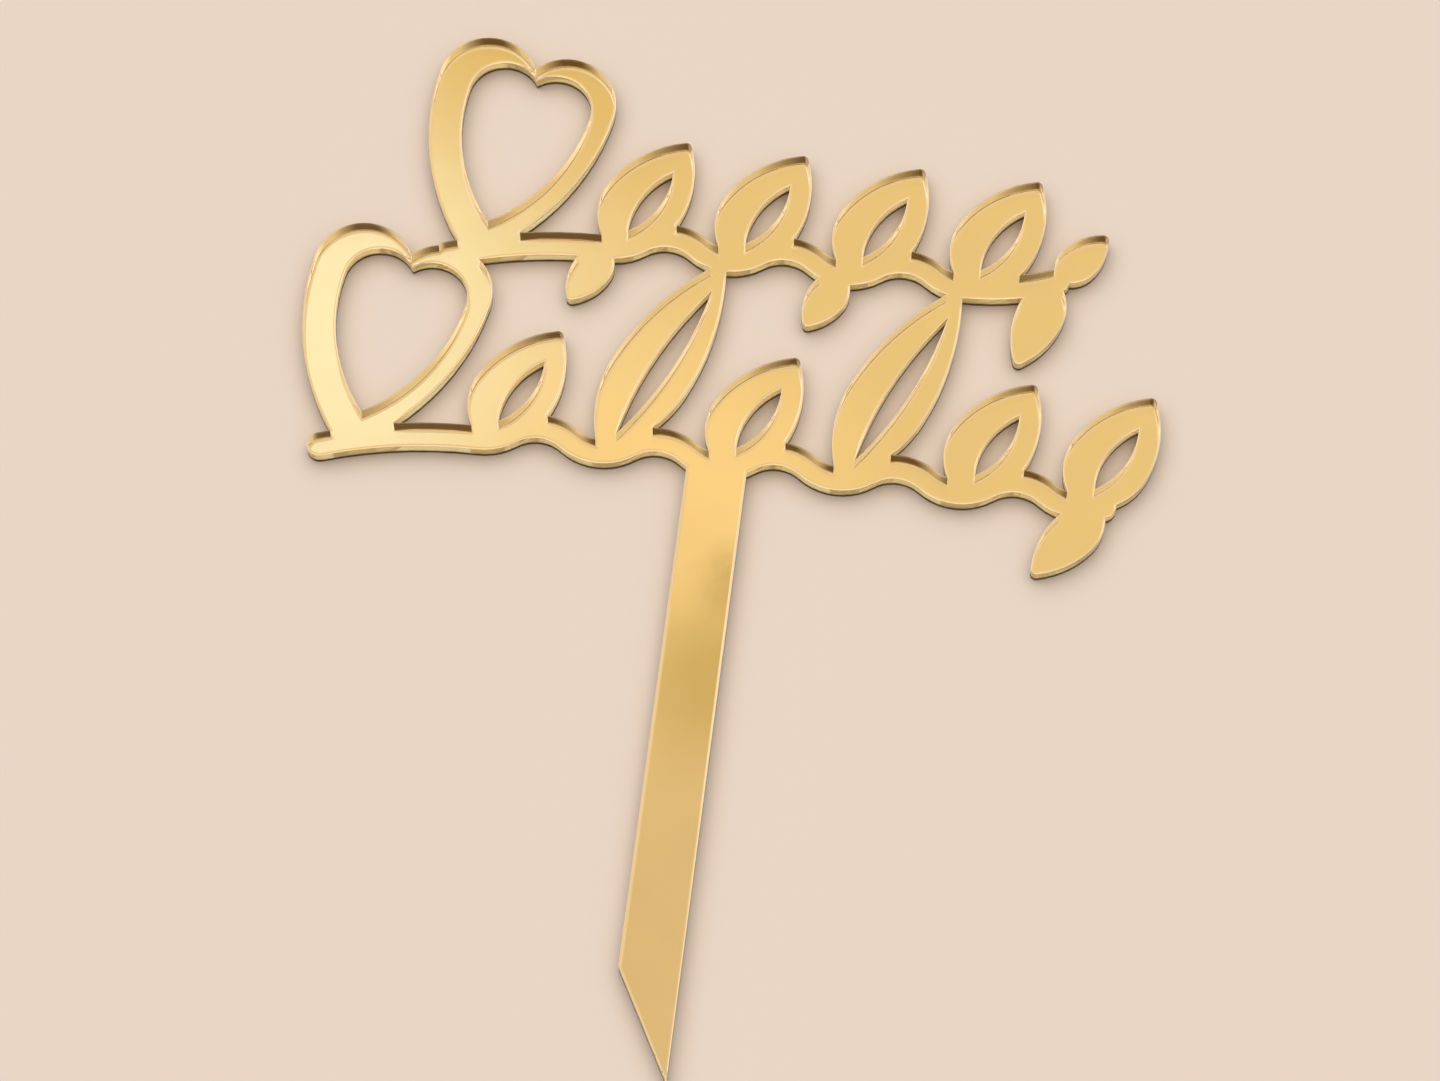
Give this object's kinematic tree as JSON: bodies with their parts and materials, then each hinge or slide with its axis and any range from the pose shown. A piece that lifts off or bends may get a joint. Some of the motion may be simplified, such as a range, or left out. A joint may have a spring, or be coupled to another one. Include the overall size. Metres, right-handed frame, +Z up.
{
  "type": "cake topper",
  "caption": "Flat cake topper cut from gold mirror acrylic: hearts and leafy vines in rows on a long stick with a slanted point that is pushed into a cake.",
  "frame": {"origin": "where the stick leaves the ornament, on the stick's centre line and in the middle of the sheet's thickness", "axes": "+X along the rows, +Z up from the stick's point to the ornament, -Y the mirrored front and +Y the coated back"},
  "size_m": [0.1498, 0.003, 0.1864],
  "materials": {
    "tinted_acrylic": "clear gold-tinted acrylic, polished faces and laser-cut edges, mirrored from behind",
    "mirror_film": "bright reflecting metal layer",
    "backing_coat": "satin grey protective lacquer"
  },
  "bodies": {
    "root": {"acrylic_sheet": "tinted_acrylic", "mirror_film": "mirror_film", "backing_coat": "backing_coat"}
  },
  "joints": []
}
